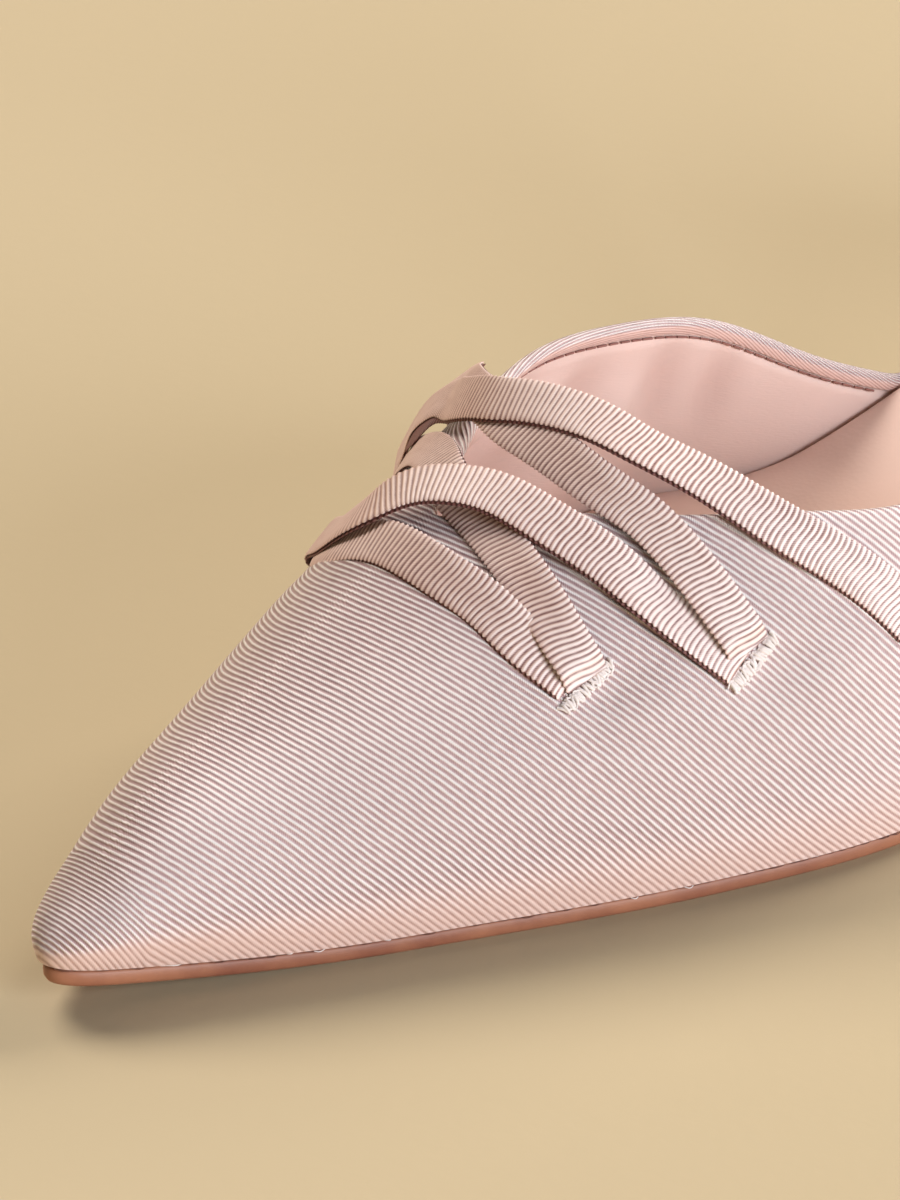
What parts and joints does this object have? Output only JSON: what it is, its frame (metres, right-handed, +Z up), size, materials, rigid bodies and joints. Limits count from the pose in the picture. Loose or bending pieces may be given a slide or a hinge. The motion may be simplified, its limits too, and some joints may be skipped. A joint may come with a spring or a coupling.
{
  "type": "kitten heel slingback shoe",
  "caption": "Pointed slingback shoe in ribbed cloth, laced over the V throat by crossing grosgrain ribbons, on a thin leather sole and a low covered heel, left foot.",
  "frame": {"origin": "middle of the shoe's length and width, on the floor it stands on", "axes": "+Y from the toe to the heel, +X to the outer side of the left foot, +Z up"},
  "size_m": [0.0744, 0.2522, 0.0963],
  "materials": {
    "upper_cloth": "fine ribbed faille, soft sheen",
    "ribbon": "grosgrain ribbon, dusty rose, soft sheen",
    "sole_leather": "dyed and burnished edge, satin",
    "sock_leather": "smooth sock leather, satin",
    "lining": "smooth thin lining, satin",
    "thread": "twisted sewing thread",
    "top_piece": "matt"
  },
  "bodies": {
    "root": {"upper": "upper_cloth", "ribbon_toe_bar": "ribbon", "ribbon_cross_1": "ribbon", "ribbon_cross_2": "ribbon", "ribbon_cross_3": "ribbon", "ribbon_top_bar": "ribbon", "sling_strap": "upper_cloth", "outsole": "sole_leather", "insole": "sock_leather", "heel": "upper_cloth", "top_piece": "top_piece"}
  },
  "joints": []
}
